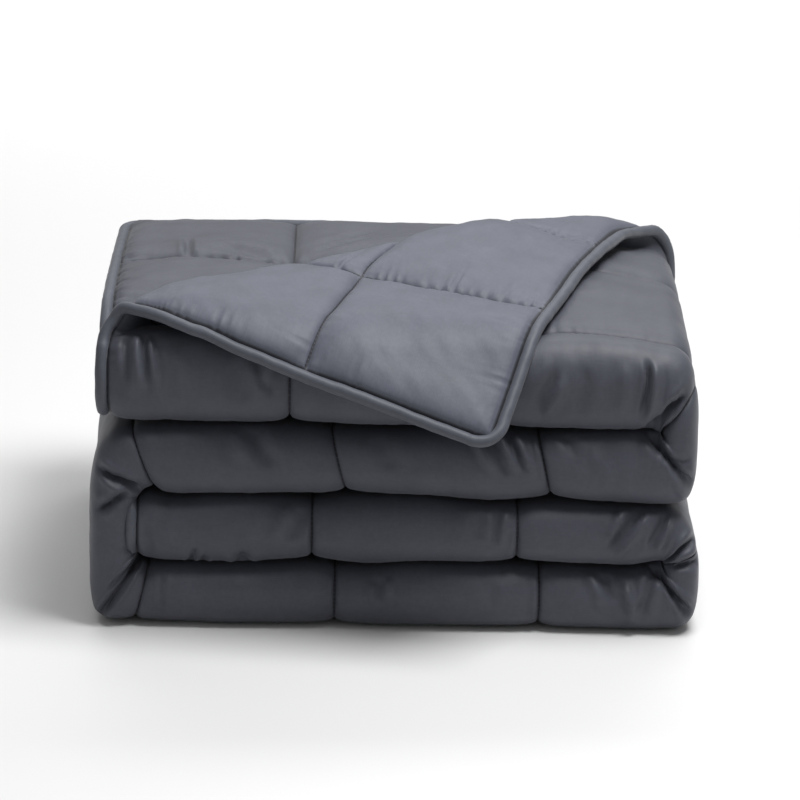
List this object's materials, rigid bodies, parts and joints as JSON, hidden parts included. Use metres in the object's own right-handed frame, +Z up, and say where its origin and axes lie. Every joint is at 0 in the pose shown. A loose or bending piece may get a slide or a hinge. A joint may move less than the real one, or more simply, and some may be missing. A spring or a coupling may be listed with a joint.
{
  "type": "folded weighted blanket",
  "caption": "Quilted weighted blanket with a corded edge, folded into a stack of strips, its top corner turned over.",
  "frame": {"origin": "middle of the base on the surface that the folded blanket rests on", "axes": "+Z up, front of the stack with its round folds facing -Y, +X to the right seen from the front"},
  "size_m": [0.4252, 0.3526, 0.2323],
  "materials": {
    "blanket_cloth": "smooth brushed slate grey cotton",
    "piping_cloth": "the same cloth drawn tight over a cord"
  },
  "bodies": {
    "root": {"quilted_blanket": "blanket_cloth", "edge_piping": "piping_cloth"}
  },
  "joints": []
}
